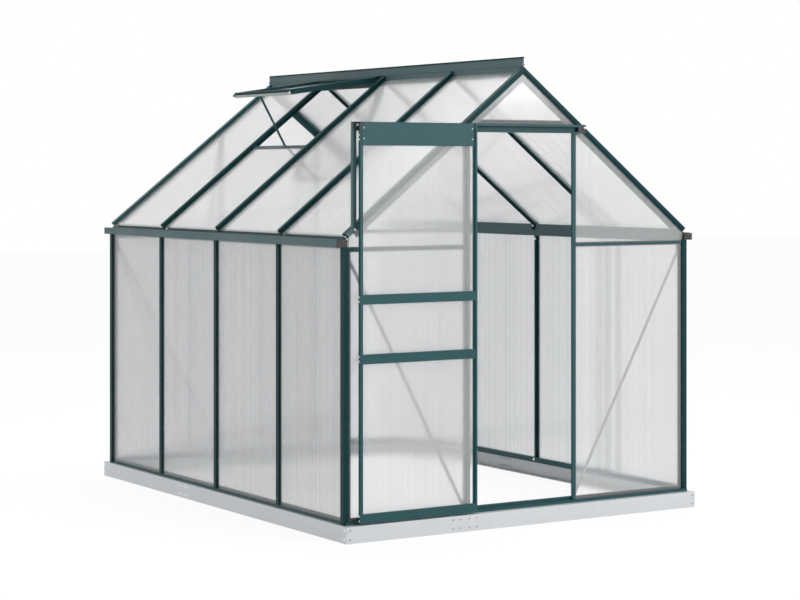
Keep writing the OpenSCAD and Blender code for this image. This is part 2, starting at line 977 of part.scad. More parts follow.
// Four bars around the vent's panel, a hair apart where they meet, and the lip that hooks on the ridge
module vent_frame() {
    h = vent_w / 2;
    groove = vent_d / 2 - 2;
    color(frame_col)
        on_vent() {
            difference() {
                box([vent_top, -h, -vent_d], [vent_top + vent_bar, h, 0]);
                box([vent_top + vent_bar - 8, -big, -groove - slot], [big, big, -groove]);
            }
            box([0, vent_lap + 2 - h, -3], [vent_top + 1, h - vent_lap - 2, 0]);
            difference() {
                box([vent_l - vent_bar, -h, -vent_d], [vent_l, h, 0]);
                box([0, -big, -groove - slot], [vent_l - vent_bar + 8, big, -groove]);
            }
            for (side = [-1, 1])
                mirror([0, side < 0 ? 1 : 0, 0])
                    difference() {
                        box([vent_top + vent_bar + seat, h - vent_bar, -vent_d],
                            [vent_l - vent_bar - seat, h, 0]);
                        box([0, 0, -groove - slot], [vent_l, h - vent_bar + 8, -groove]);
                    }
        }
}

module vent_panel() {
    h = vent_w / 2 - vent_bar + 6;
    groove = vent_d / 2 - 2;
    color(panel_col)
        on_vent()
            box([vent_top + vent_bar - 6, -h, -groove - slot],
                [vent_l - vent_bar + 6, h, -groove - slot + panel_t]);
}

// Bar across the bay below the vent opening, on the flanges of the bars beside it
module vent_crossbar() {
    reach = bar_w / 2 + seat;
    color(frame_col)
        mirror([1, 0, 0])
            on_slope(1)
                difference() {
                    box([crossbar_s, stud_mid + reach, -roof_out - slot],
                        [crossbar_s + crossbar_w + 8, stud_back - reach, -roof_out + 2]);
                    box([crossbar_s + crossbar_w, -big, -roof_out - slot - 1], [big, big, -roof_out]);
                }
}

// Place on the left slope: s down the slope, y along the ridge, n out of the roof
function on_left(s, y, n) =
    [-s * cos(pitch) - n * sin(pitch), y, apex_z - s * sin(pitch) + n * cos(pitch)];

// Place on the open vent: s from the hinge to the foot, y along the ridge, n out of the vent
function on_sash(s, y, n) =
    [-vent_hinge_x - s * cos(vent_tilt) - n * sin(vent_tilt), y,
     vent_hinge_z - s * sin(vent_tilt) + n * cos(vent_tilt)];

// Slanting stay from the vent's foot down past the crossbar
module vent_stay() {
    foot = on_left(crossbar_s - 1.9, vent_mid - stay_lean / 3, -stay_past);
    head = on_sash(vent_l - vent_bar / 2, vent_mid + stay_lean, -vent_d + 4);
    run = head - foot;
    color(frame_col)
        difference() {
            translate(foot)
                rotate([0, acos(run[2] / norm(run)), atan2(run[1], run[0])])
                    translate([-stay_w / 2, -stay_t / 2, 0]) cube([stay_w, stay_t, norm(run)]);
            on_vent() box([0, -big, -vent_d - seat], [big, big, big]);
        }
}

/* ---------- sliding door ---------- */

// The two edges of the door: a tube on the outside and a lip beside it that holds the panels
module door_stiles() {
    tube = door_w / 2 - stile_w;
    lip = tube - stile_lip;
    color(frame_col)
        for (side = [-1, 1])
            translate([(door_left + door_right) / 2, 0, 0])
                mirror([side < 0 ? 1 : 0, 0, 0]) {
                    box([tube, stile_front, door_foot], [door_w / 2, stile_back, track_top]);
                    difference() {
                        box([lip, stile_front + stile_step, door_foot], [tube, stile_back, track_top]);
                        box([0, door_groove, 0], [tube - 0.5, door_groove + slot, big]);
                    }
                }
}

// One rail of the door at height z, grooved for the panels above and below
module door_rail(z, groove_below) {
    x0 = door_left + stile_w;
    x1 = door_right - stile_w;
    difference() {
        box([x0, stile_front, z], [x1, stile_back, z + rail_h]);
        box([x0 - 1, stile_front + stile_step, z - 1], [x0 + stile_lip, big, z + rail_h + 1]);
        box([x1 - stile_lip, stile_front + stile_step, z - 1], [x1 + 1, big, z + rail_h + 1]);
        box([x0 - 1, door_groove, z + rail_h - 9], [x1 + 1, door_groove + slot, z + rail_h + 1]);
        if (groove_below)
            box([x0 - 1, door_groove, z - 1], [x1 + 1, door_groove + slot, z + 9]);
        box([x0 + stile_lip + skin, stile_front + skin, z + 11],
            [x1 - stile_lip - skin, stile_back - skin, z + rail_h - 11]);
    }
}

module door_rails() {
    color(frame_col) {
        door_rail(door_foot, false);
        door_rail(rail_low, true);
        door_rail(rail_high, true);
    }
}

module door_head_plate() {
    color(frame_col)
        box([door_left + head_inset, door_front, head_z],
            [door_right - stile_w - stile_lip, stile_front, track_top - 1]);
}

// The three panels of the door, each let into the grooves around it
module door_panels() {
    y = door_groove + panel_play / 2;
    bite = 8;
    x0 = door_left + stile_w + edge_play;
    x1 = door_right - stile_w - edge_play;
    color(panel_col) {
        box([x0, y, door_foot + rail_h - bite], [x1, y + panel_t, rail_low + bite]);
        box([x0, y, rail_low + rail_h - bite], [x1, y + panel_t, rail_high + bite]);
        box([x0, y, rail_high + rail_h - bite], [x1, y + panel_t, door_panel_top]);
    }
}

module door_wheels() {
    wheel_back = -half_l - skin - 6;
    color(plastic_col)
        for (x = [door_left + wheel_inset, door_right - wheel_inset])
            translate([x, 0, wheel_z])
                rotate([90, 0, 0]) {
                    translate([0, 0, -wheel_back])
                        cylinder(h = wheel_w, d = wheel_d, $fn = 64);
                    translate([0, 0, -wheel_back])
                        cylinder(h = wheel_back - stile_front, d = axle_d, $fn = 32);
                }
}

base_front();
base_back();
base_left();
base_right();
base_corner_angles();
base_splice_plates();
sill_front();
sill_back();
sill_left();
sill_right();
corner_posts();
side_studs_left();
side_studs_right();
door_posts();
back_studs();
gutter_left();
gutter_right();
gutter_end_caps();
gable_rafters_front();
gable_rafters_back();
roof_bars_left();
roof_bars_right();
ridge();
door_header();
eave_bars();
corner_gussets();
gable_braces();
door_track();
track_end_plugs();
track_post();
side_panels_left();
side_panels_right();
roof_panels_left();
roof_panels_right();
gable_panels_front();
gable_panels_back();
vent_frame();
vent_panel();
vent_crossbar();
vent_stay();
door_stiles();
door_rails();
door_head_plate();
door_panels();
door_wheels();
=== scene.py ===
"""Walk-in greenhouse: coating, twin-wall glazing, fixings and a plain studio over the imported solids."""

import logging
import math
from dataclasses import dataclass, field
from enum import Enum
from typing import Any, Iterable, Sequence

import bmesh
import bpy
from mathutils import Matrix, Vector


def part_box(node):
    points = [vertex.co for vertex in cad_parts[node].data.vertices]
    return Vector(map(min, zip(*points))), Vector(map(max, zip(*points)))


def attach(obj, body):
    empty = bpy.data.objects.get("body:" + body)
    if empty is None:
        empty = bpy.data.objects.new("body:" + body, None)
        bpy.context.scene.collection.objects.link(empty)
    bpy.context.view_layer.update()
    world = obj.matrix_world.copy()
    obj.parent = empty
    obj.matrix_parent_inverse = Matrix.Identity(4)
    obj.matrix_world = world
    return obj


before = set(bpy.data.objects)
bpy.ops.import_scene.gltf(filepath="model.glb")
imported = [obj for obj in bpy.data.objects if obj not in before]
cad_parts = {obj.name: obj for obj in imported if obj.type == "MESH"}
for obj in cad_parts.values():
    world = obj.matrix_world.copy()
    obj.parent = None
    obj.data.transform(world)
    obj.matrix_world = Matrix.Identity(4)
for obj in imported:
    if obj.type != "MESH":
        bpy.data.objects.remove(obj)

LOG = logging.getLogger("greenhouse")
HOUSE = "house"
DOOR = "door"
Point = tuple[float, float, float]
SEAT = 0.0002  # how far a trim piece sinks into the face it sits on
BAY_LINES = (0.584, 0.004, -0.598)  # where the studs and roof bars stand along the building


class Axis(Enum):
    """The direction across the flutes of a twin-wall sheet."""

    X = 0
    Y = 1


class Slot(Enum):
    """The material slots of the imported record."""

    FRAME = "frame_paint"
    PLASTIC = "black_plastic"
    BARE = "bare_aluminium"


# ---------------------------------------------------------------- node graphs


class Graph:
    """A node tree with short calls that add nodes and links."""

    def __init__(self, tree: bpy.types.NodeTree) -> None:
        """Keeps the tree.

        Args:
            tree: The material's or group's node tree.
        """
        self.tree = tree

    def add(self, kind: str, sockets: dict[Any, Any] | None = None, **settings: Any) -> bpy.types.Node:
        """Adds one node.

        Args:
            kind: The node's bl_idname.
            sockets: Input socket name or number to a value or an output socket.
            **settings: Properties set on the node.

        Returns:
            The new node.
        """
        node = self.tree.nodes.new(kind)
        for name, value in settings.items():
            setattr(node, name, value)
        for name, value in (sockets or {}).items():
            self.put(node.inputs[name], value)
        return node

    def put(self, socket: bpy.types.NodeSocket, value: Any) -> None:
        """Links a socket to an output, or sets its own value.

        Args:
            socket: The input socket.
            value: An output socket, a number, or a colour or vector.
        """
        if isinstance(value, bpy.types.NodeSocket):
            self.tree.links.new(value, socket)
        else:
            socket.default_value = value

    def math(self, operation: str, a: Any, b: Any = 0.0, clamp: bool = False) -> bpy.types.NodeSocket:
        """Adds a Math node.

        Args:
            operation: The node's operation.
            a: First value or output socket.
            b: Second value or output socket.
            clamp: Whether the result is kept between 0 and 1.

        Returns:
            Its output socket.
        """
        return self.add("ShaderNodeMath", {0: a, 1: b}, operation=operation, use_clamp=clamp).outputs[0]

    def mix(self, factor: Any, a: Any, b: Any, blend: str = "MIX") -> bpy.types.NodeSocket:
        """Adds a colour Mix node.

        Args:
            factor: Share of b.
            a: First colour or output socket.
            b: Second colour or output socket.
            blend: The node's blend type.

        Returns:
            Its colour output socket.
        """
        node = self.add("ShaderNodeMix", {0: factor, 6: a, 7: b}, data_type="RGBA", blend_type=blend)
        return node.outputs[2]

    def ramp(
        self, value: Any, low: float, high: float, out_low: float = 0.0, out_high: float = 1.0
    ) -> bpy.types.NodeSocket:
        """Adds a smooth Map Range node.

        Args:
            value: The output socket to remap.
            low: Value that gives out_low.
            high: Value that gives out_high.
            out_low: Result at low.
            out_high: Result at high.

        Returns:
            Its output socket.
        """
        node = self.add(
            "ShaderNodeMapRange",
            {0: value, 1: low, 2: high, 3: out_low, 4: out_high},
            interpolation_type="SMOOTHSTEP",
        )
        return node.outputs[0]


@dataclass(frozen=True)
class GroupSocket:
    """One socket of a node group."""

    name: str
    kind: str
    value: Any = None


class EffectGroup:
    """A node group that several finishes share."""

    name = ""
    inputs: tuple[GroupSocket, ...] = ()
    outputs: tuple[GroupSocket, ...] = ()

    @classmethod
    def tree(cls) -> bpy.types.NodeTree:
        """Returns the group, built on first use."""
        found = bpy.data.node_groups.get(cls.name)
        if found:
            return found
        tree = bpy.data.node_groups.new(cls.name, "ShaderNodeTree")
        for socket in cls.inputs:
            made = tree.interface.new_socket(name=socket.name, in_out="INPUT", socket_type=socket.kind)
            if socket.value is not None:
                made.default_value = socket.value
        for socket in cls.outputs:
            tree.interface.new_socket(name=socket.name, in_out="OUTPUT", socket_type=socket.kind)
        graph = Graph(tree)
        cls.wire(graph, graph.add("NodeGroupInput").outputs, graph.add("NodeGroupOutput").inputs)
        return tree

    @classmethod
    def wire(cls, graph: Graph, given: Any, result: Any) -> None:
        """Builds the effect inside the group.

        Args:
            graph: The group's graph.
            given: Output sockets of the group's input node.
            result: Input sockets of the group's output node.
        """
        raise NotImplementedError

    @classmethod
    def place(cls, graph: Graph, sockets: dict[str, Any] | None = None) -> Any:
        """Places the group in a material.

        Args:
            graph: The material's graph.
            sockets: Values for the group's inputs.

        Returns:
            The group node's output sockets.
        """
        node = graph.add("ShaderNodeGroup", node_tree=cls.tree())
        for name, value in (sockets or {}).items():
            graph.put(node.inputs[name], value)
        return node.outputs


COLOR = "NodeSocketColor"
FLOAT = "NodeSocketFloat"


class Mottle(EffectGroup):
    """Soft cloudy change of tone, with a fine grain, in the object's own coordinates."""

    name = "soft mottle"
    inputs = (
        GroupSocket("Color", COLOR),
        GroupSocket("Cloud Scale", FLOAT, 4.0),
        GroupSocket("Grain Scale", FLOAT, 600.0),
        GroupSocket("Amount", FLOAT, 0.1),
    )
    outputs = (GroupSocket("Color", COLOR), GroupSocket("Cloud", FLOAT), GroupSocket("Grain", FLOAT))

    @classmethod
    def wire(cls, graph: Graph, given: Any, result: Any) -> None:
        """Mixes a large and a fine noise into the colour."""
        where = graph.add("ShaderNodeTexCoord").outputs["Object"]
        cloud = graph.add(
            "ShaderNodeTexNoise", {"Vector": where, "Scale": given["Cloud Scale"], "Detail": 4.0}
        ).outputs["Fac"]
        grain = graph.add(
            "ShaderNodeTexNoise", {"Vector": where, "Scale": given["Grain Scale"], "Detail": 2.0}
        ).outputs["Fac"]
        tone = graph.math("ADD", graph.math("MULTIPLY", cloud, 0.7), graph.math("MULTIPLY", grain, 0.3))
        swing = graph.math("MULTIPLY", graph.math("SUBTRACT", tone, 0.5), given["Amount"])
        level = graph.math("ADD", 1.0, graph.math("MULTIPLY", swing, 2.0))
        scaled = graph.add("ShaderNodeVectorMath", {0: given["Color"], "Scale": level}, operation="SCALE")
        graph.put(result["Color"], scaled.outputs[0])
        graph.put(result["Cloud"], cloud)
        graph.put(result["Grain"], grain)


class Dust(EffectGroup):
    """Pale dust that settles on what faces up and near the ground."""

    name = "settled dust"
    inputs = (GroupSocket("Color", COLOR), GroupSocket("Amount", FLOAT, 0.1))
    outputs = (GroupSocket("Color", COLOR), GroupSocket("Mask", FLOAT))

    @classmethod
    def wire(cls, graph: Graph, given: Any, result: Any) -> None:
        """Masks the dust by the normal, by height and by noise."""
        coords = graph.add("ShaderNodeTexCoord")
        normal = graph.add("ShaderNodeSeparateXYZ", {0: graph.add("ShaderNodeNewGeometry").outputs["Normal"]})
        place = graph.add("ShaderNodeSeparateXYZ", {0: coords.outputs["Object"]})
        up = graph.ramp(normal.outputs["Z"], 0.2, 1.0)
        low = graph.ramp(place.outputs["Z"], 0.35, 0.0, 0.0, 0.6)
        patch = graph.add(
            "ShaderNodeTexNoise", {"Vector": coords.outputs["Object"], "Scale": 9.0, "Detail": 6.0}
        ).outputs["Fac"]
        mask = graph.math("MULTIPLY", graph.math("MAXIMUM", up, low), graph.ramp(patch, 0.35, 0.75))
        mask = graph.math("MULTIPLY", mask, given["Amount"], clamp=True)
        graph.put(result["Color"], graph.mix(mask, given["Color"], (0.52, 0.50, 0.46, 1.0)))
        graph.put(result["Mask"], mask)


class Flutes(EffectGroup):
    """The ribs of a twin-wall sheet, seen as fine lines across the given place."""

    name = "twin-wall flutes"
    inputs = (
        GroupSocket("Across", FLOAT),
        GroupSocket("Pitch", FLOAT, 0.0057),
        GroupSocket("Streak Scale", FLOAT, 38.0),
    )
    outputs = (GroupSocket("Rib", FLOAT), GroupSocket("Streak", FLOAT), GroupSocket("Height", FLOAT))

    @classmethod
    def wire(cls, graph: Graph, given: Any, result: Any) -> None:
        """Turns the place across the sheet into ribs and slower streaks."""
        turn = graph.math("MULTIPLY", graph.math("DIVIDE", given["Across"], given["Pitch"]), 2 * math.pi)
        wave = graph.math("ADD", graph.math("MULTIPLY", graph.math("COSINE", turn), 0.5), 0.5)
        rib = graph.math("POWER", wave, 8.0)
        streak = graph.add(
            "ShaderNodeTexNoise",
            {"W": given["Across"], "Scale": given["Streak Scale"], "Detail": 3.0, "Roughness": 0.7},
            noise_dimensions="1D",
        ).outputs["Fac"]
        graph.put(result["Rib"], rib)
        graph.put(result["Streak"], streak)
        graph.put(result["Height"], graph.math("SUBTRACT", 1.0, rib))


# ------------------------------------------------------------------- finishes

PALE_ZINC = (0.93, 0.95, 0.97, 1.0)
STREAK_GREY = (0.55, 0.575, 0.60, 1.0)
RIB_GREY = (0.52, 0.55, 0.57, 1.0)


@dataclass(frozen=True)
class Finish:
    """A surface finish, made once as a material and then shared."""

    name: str
    color: Point
    cloud: float = 4.0
    grain: float = 600.0
    mottle: float = 0.1

    def material(self) -> bpy.types.Material:
        """Returns the material, built on first use."""
        found = bpy.data.materials.get(self.name)
        if found:
            return found
        made = bpy.data.materials.new(self.name)
        made.use_nodes = True
        made.node_tree.nodes.clear()
        graph = Graph(made.node_tree)
        shader = graph.add("ShaderNodeBsdfPrincipled")
        output = graph.add("ShaderNodeOutputMaterial")
        made.node_tree.links.new(shader.outputs[0], output.inputs["Surface"])
        self.wire(graph, shader.inputs)
        return made

    def wire(self, graph: Graph, shader: Any) -> None:
        """Feeds the shader's sockets.

        Args:
            graph: The material's graph.
            shader: The shader node's input sockets.
        """
        raise NotImplementedError

    @property
    def rgba(self) -> tuple[float, float, float, float]:
        """The colour with full alpha."""
        return (*self.color, 1.0)

    def mottled(self, graph: Graph) -> Any:
        """Places the mottle in the finish's own colour and scales.

        Args:
            graph: The material's graph.

        Returns:
            The mottle's output sockets.
        """
        return Mottle.place(
            graph,
            {"Color": self.rgba, "Cloud Scale": self.cloud, "Grain Scale": self.grain, "Amount": self.mottle},
        )

    @staticmethod
    def raised(graph: Graph, shader: Any, height: Any, strength: float, distance: float) -> None:
        """Gives the surface a fine relief.

        Args:
            graph: The material's graph.
            shader: The shader node's input sockets.
            height: Output socket with the height.
            strength: Strength of the relief.
            distance: Depth of the relief in metres.
        """
        bump = graph.add("ShaderNodeBump", {"Strength": strength, "Distance": distance, "Height": height})
        graph.put(shader["Normal"], bump.outputs[0])


@dataclass(frozen=True)
class PowderCoat(Finish):
    """Baked coating on an aluminium profile, with a fine orange-peel skin."""

    cloud: float = 3.0
    grain: float = 900.0
    mottle: float = 0.16
    roughness: float = 0.42
    sheen: float = 0.34
    dust: float = 0.03

    def wire(self, graph: Graph, shader: Any) -> None:
        """Coats the profile with mottled colour, dust and a fine skin."""
        tone = self.mottled(graph)
        dusty = Dust.place(graph, {"Color": tone["Color"], "Amount": self.dust})
        shader["Specular IOR Level"].default_value = self.sheen
        graph.put(shader["Base Color"], dusty["Color"])
        rough = graph.ramp(tone["Cloud"], 0.3, 0.7, self.roughness - 0.05, self.roughness + 0.06)
        graph.put(shader["Roughness"], graph.math("ADD", rough, graph.math("MULTIPLY", dusty["Mask"], 0.5)))
        self.raised(graph, shader, tone["Grain"], strength=0.06, distance=0.0004)


@dataclass(frozen=True)
class ZincSheet(Finish):
    """Hot-dipped steel sheet with faint spangles and run marks."""

    cloud: float = 5.0
    grain: float = 320.0
    mottle: float = 0.05
    roughness: float = 0.42
    metallic: float = 0.35
    spangle_scale: float = 90.0
    spangle: float = 0.06
    dust: float = 0.05

    def wire(self, graph: Graph, shader: Any) -> None:
        """Lays spangles and cloudy tone over the zinc."""
        where = graph.add("ShaderNodeTexCoord").outputs["Object"]
        spangle = graph.add(
            "ShaderNodeTexVoronoi",
            {"Vector": where, "Scale": self.spangle_scale, "Randomness": 1.0},
            feature="F1",
        )
        flake = graph.add("ShaderNodeSeparateXYZ", {0: spangle.outputs["Color"]}).outputs["X"]
        tone = self.mottled(graph)
        flecked = graph.mix(graph.math("MULTIPLY", flake, self.spangle), tone["Color"], PALE_ZINC)
        dusty = Dust.place(graph, {"Color": flecked, "Amount": self.dust})
        graph.put(shader["Base Color"], dusty["Color"])
        shader["Metallic"].default_value = self.metallic
        graph.put(
            shader["Roughness"], graph.ramp(flake, 0.0, 1.0, self.roughness - 0.04, self.roughness + 0.05)
        )
        self.raised(graph, shader, flake, strength=0.04, distance=0.0003)


@dataclass(frozen=True)
class MillMetal(Finish):
    """Bare or zinc-plated metal with fine drawing lines."""

    cloud: float = 30.0
    grain: float = 700.0
    mottle: float = 0.14
    roughness: float = 0.3
    metallic: float = 1.0

    def wire(self, graph: Graph, shader: Any) -> None:
        """Breaks the gloss with a fine grain."""
        tone = self.mottled(graph)
        graph.put(shader["Base Color"], tone["Color"])
        shader["Metallic"].default_value = self.metallic
        graph.put(
            shader["Roughness"],
            graph.ramp(tone["Grain"], 0.2, 0.8, self.roughness - 0.08, self.roughness + 0.1),
        )
        self.raised(graph, shader, tone["Grain"], strength=0.05, distance=0.0002)


@dataclass(frozen=True)
class Moulding(Finish):
    """Moulded plastic with a fine texture."""

    cloud: float = 14.0
    grain: float = 1500.0
    mottle: float = 0.25
    roughness: float = 0.5
    dust: float = 0.08

    def wire(self, graph: Graph, shader: Any) -> None:
        """Gives the plastic a fine sparked grain."""
        tone = self.mottled(graph)
        dusty = Dust.place(graph, {"Color": tone["Color"], "Amount": self.dust})
        graph.put(shader["Base Color"], dusty["Color"])
        graph.put(
            shader["Roughness"],
            graph.ramp(tone["Cloud"], 0.3, 0.7, self.roughness - 0.06, self.roughness + 0.08),
        )
        self.raised(graph, shader, tone["Grain"], strength=0.25, distance=0.0003)


@dataclass(frozen=True)
class TwinWall(Finish):
    """Milky twin-wall sheet that shows what lies behind it as soft bands."""

    cloud: float = 1.6
    grain: float = 60.0
    mottle: float = 0.05
    across: Axis = Axis.X
    clear: float = 0.85
    roughness: float = 0.05
    skin: float = 1.0
    streak: float = 0.35
    streak_scale: float = 38.0
    rib: float = 0.30
    relief: float = 0.3
    dust: float = 0.04

    def wire(self, graph: Graph, shader: Any) -> None:
        """Draws the flutes across the sheet and lets light through."""
        where = graph.add("ShaderNodeTexCoord").outputs["Object"]
        place = graph.add("ShaderNodeSeparateXYZ", {0: where}).outputs[self.across.value]
        flutes = Flutes.place(graph, {"Across": place, "Streak Scale": self.streak_scale})
        tone = self.mottled(graph)
        streaked = graph.mix(
            graph.ramp(flutes["Streak"], 0.3, 0.7, self.streak, 0.0), tone["Color"], STREAK_GREY
        )
        ribbed = graph.mix(graph.math("MULTIPLY", flutes["Rib"], self.rib), streaked, RIB_GREY)
        dusty = Dust.place(graph, {"Color": ribbed, "Amount": self.dust})
        graph.put(shader["Base Color"], dusty["Color"])
        shader["Transmission Weight"].default_value = self.clear
        shader["Coat Weight"].default_value = self.skin
        shader["Coat Roughness"].default_value = 0.16
        shader["Coat IOR"].default_value = 1.6
        shader["IOR"].default_value = 1.3
        graph.put(
            shader["Roughness"],
            graph.ramp(flutes["Streak"], 0.3, 0.7, self.roughness * 0.7, self.roughness * 1.3),
        )
        self.raised(graph, shader, flutes["Height"], strength=self.relief, distance=0.0008)


GREEN = PowderCoat("green powder coat", (0.006, 0.062, 0.070))
# Shaded copy of the green coat: the darker base colour and lower sheen are painted shade for the corner posts,
# studs, front rafters, roof bars, vent frame and ridge hem.
SHADE_PAINTED_GREEN = PowderCoat("green powder coat, painted shade", (0.003, 0.036, 0.040), sheen=0.12)
# Lit copy of the green coat: the same base colour with a far higher sheen paints a highlight on the ridge,
# gutters, gutter rims and track post.
SHEEN_LIT_GREEN = PowderCoat("green powder coat, painted sheen", (0.006, 0.062, 0.070), roughness=0.5, sheen=0.95)
ZINC_BASE = ZincSheet("zinc sheet", (0.58, 0.60, 0.62))
BOLT_ZINC = MillMetal("bright zinc", (0.90, 0.91, 0.92), roughness=0.36, metallic=0.2)
DULL_ZINC = MillMetal("dull zinc", (0.34, 0.35, 0.36), roughness=0.4, metallic=0.6)
TINTED_ZINC = MillMetal("tinted zinc", (0.36, 0.48, 0.48), roughness=0.36, metallic=0.3)
BLACK_PLASTIC = Moulding("black moulding", (0.022, 0.021, 0.022))
# Lit and shaded copies of one twin-wall sheet: the gable and roof sheets take a paler tint as painted light,
# and the side sheets take a darker tint as painted shade.
LIT_SHEET_GABLE = TwinWall(
    "twin-wall sheet, gables, painted light", (0.985, 0.987, 0.99), clear=0.84, roughness=0.04, skin=0.4,
    streak=0.08, rib=0.08, relief=0.22,
)
SHADED_SHEET_SIDE = TwinWall(
    "twin-wall sheet, sides, painted shade", (0.84, 0.85, 0.862), across=Axis.Y, clear=0.87, roughness=0.03, skin=0.65,
    streak=0.34, streak_scale=60.0, rib=0.10, relief=0.34,
)
LIT_SHEET_ROOF = TwinWall(
    "twin-wall sheet, roof, painted light", (0.975, 0.977, 0.98), across=Axis.Y, clear=0.88, roughness=0.03, skin=0.7,
    streak=0.2, rib=0.15, relief=0.1,
)


# --------------------------------------------------------------------- meshes


def basis(outward: Vector) -> Matrix:
    """Returns a rotation that turns +Z to the given direction.

    Args:
        outward: The direction, which needn't be a unit vector.

    Returns:
        A 4x4 rotation matrix.
    """
    return outward.normalized().to_track_quat("Z", "Y").to_matrix().to_4x4()


class Body:
    """A mesh under construction, in the part's own coordinates."""

    def __init__(self) -> None:
        """Starts an empty mesh."""
        self.mesh = bmesh.new()

    def rings(self, outlines: Sequence[Sequence[Vector]], place: Matrix, capped: bool = True) -> None:
        """Joins closed outlines of equal length into a skin.

        Args:
            outlines: The rings, from one end to the other.
            place: Matrix that puts the rings in the part's coordinates.
            capped: Whether the two ends are closed.
        """
        rows = [[self.mesh.verts.new(place @ point) for point in ring] for ring in outlines]
        for low, high in zip(rows, rows[1:]):
            for i, vertex in enumerate(low):
                j = (i + 1) % len(low)
                self.mesh.faces.new((vertex, low[j], high[j], high[i]))
        if capped:
            self.mesh.faces.new(list(reversed(rows[0])))
            self.mesh.faces.new(rows[-1])

    def turned(self, profile: Sequence[tuple[float, float]], place: Matrix, sides: int = 24) -> None:
        """Turns a profile round the local Z axis.

        Args:
            profile: (radius, height) pairs from the foot to the top.
            place: Matrix that puts the piece in the part's coordinates.
            sides: Number of sides.
        """
        rings = []
        for radius, height in profile:
            angles = [2 * math.pi * i / sides for i in range(sides)]
            rings.append([Vector((radius * math.cos(a), radius * math.sin(a), height)) for a in angles])
        self.rings(rings, place)

    def block(self, low: Vector, high: Vector, chamfer: float, place: Matrix = Matrix()) -> None:
        """Adds a box with chamfered edges.

        Args:
            low: Lowest corner.
            high: Highest corner.
            chamfer: Width of the chamfers.
            place: Matrix that puts the box in the part's coordinates.
        """
        c = chamfer

        def ring(inset: float, z: float) -> list[Vector]:
            """Draws one rectangular outline with cut corners.

            Args:
                inset: How far it lies inside the box.
                z: Its height.

            Returns:
                The outline's corners.
            """
            x0, y0, x1, y1 = low.x + inset, low.y + inset, high.x - inset, high.y - inset
            return [
                Vector((x0 + c, y0, z)), Vector((x1 - c, y0, z)), Vector((x1, y0 + c, z)),
                Vector((x1, y1 - c, z)), Vector((x1 - c, y1, z)), Vector((x0 + c, y1, z)),
                Vector((x0, y1 - c, z)), Vector((x0, y0 + c, z)),
            ]

        self.rings([ring(c, low.z), ring(0, low.z + c), ring(0, high.z - c), ring(c, high.z)], place)

    def done(self, name: str, finish: Finish, body: str) -> bpy.types.Object:
        """Turns the mesh into a piece that rides on a body.

        Args:
            name: The piece's name.
            finish: Its finish.
            body: The body it moves with.

        Returns:
            The new object.
        """
        bmesh.ops.recalc_face_normals(self.mesh, faces=self.mesh.faces)
        data = bpy.data.meshes.new(name)
        self.mesh.to_mesh(data)
        self.mesh.free()
        data.materials.append(finish.material())
        made = bpy.data.objects.new(name, data)
        bpy.context.scene.collection.objects.link(made)
        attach(made, body)
        return made


def along(start: Vector, end: Vector, out: Vector) -> Matrix:
    """Returns the frame of a bar: X along it, Z outwards, the origin at its start.

    Args:
        start: Where the bar starts.
        end: Where it ends.
        out: The direction its outer face looks in.

    Returns:
        A 4x4 matrix.
    """
    x = (end - start).normalized()
    y = out.cross(x).normalized()
    z = x.cross(y)
    turn = Matrix((x, y, z)).transposed().to_4x4()
    return Matrix.Translation(start) @ turn


def dress(nodes: Iterable[str], finish: Finish, bevel: float = 0.0007) -> None:
    """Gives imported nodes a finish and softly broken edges.

    Args:
        nodes: Names of the nodes.
        finish: The finish they take.
        bevel: Width of the broken edges, or 0 for none.
    """
    for name in nodes:
        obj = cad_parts[name]
        if not obj.material_slots:
            obj.data.materials.append(None)
        for slot in obj.material_slots:
            slot.link = "OBJECT"
            slot.material = finish.material()
        if bevel > 0:
            edge = obj.modifiers.new("broken edges", "BEVEL")
            edge.width = bevel
            edge.segments = 2
            edge.limit_method = "ANGLE"
            edge.angle_limit = math.radians(40)
            edge.harden_normals = False


@dataclass
class Fixing:
    """A place for a bolt or nut and the way it points."""

    at: Vector
    out: Vector


@dataclass
class HexBolt:
    """Sizes of a hexagon head on its washer."""

    across: float = 0.010
    head: float = 0.004
    washer: float = 0.0065
    washer_t: float = 0.001

    def add(self, body: Body, fixing: Fixing) -> None:
        """Adds a washer and a chamfered hexagon head.

        Args:
            body: The mesh to add to.
            fixing: Where the bolt sits.
        """
        place = Matrix.Translation(fixing.at) @ basis(fixing.out)
        edge = self.washer_t * 0.3
        body.turned(
            [(self.washer - edge, 0.0), (self.washer, edge), (self.washer, self.washer_t - edge),
             (self.washer - edge, self.washer_t)], place, 24,
        )
        radius = self.across / math.sqrt(3)
        top = self.washer_t + self.head
        body.turned(
            [(radius * 0.96, self.washer_t), (radius, self.washer_t + 0.0003), (radius, top - 0.0008),
             (radius * 0.84, top)], place, 6,
        )


@dataclass
class PanHead:
    """Sizes of a low round head."""

    radius: float = 0.006
    head: float = 0.0032

    def add(self, body: Body, fixing: Fixing) -> None:
        """Adds a domed head with a small socket.

        Args:
            body: The mesh to add to.
            fixing: Where the screw sits.
        """
        place = Matrix.Translation(fixing.at) @ basis(fixing.out)
        r, h = self.radius, self.head
        body.turned(
            [(r * 0.96, 0.0), (r, h * 0.15), (r * 0.95, h * 0.5), (r * 0.78, h * 0.82), (r * 0.5, h),
             (r * 0.42, h), (r * 0.36, h * 0.45)], place, 24,
        )


def fixings(
    name: str, style: HexBolt | PanHead, places: Iterable[Fixing], body: str = HOUSE, finish: Finish = BOLT_ZINC
) -> None:
    """Builds one piece from many bolts of a kind.

    Args:
        name: The piece's name.
        style: The bolt's sizes.
        places: Where they sit.
        body: The body they ride on.
        finish: The finish of the heads.
    """
    mesh = Body()
    for fixing in places:
        style.add(mesh, fixing)
    mesh.done(name, finish, body)


def box(node: str) -> tuple[Vector, Vector]:
    """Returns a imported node's lowest and highest corner.

    Args:
        node: The node's name.

    Returns:
        Both corners, in metres.
    """
    low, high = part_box(node)
    return Vector(low), Vector(high)


# ---------------------------------------------------------------- assemblies


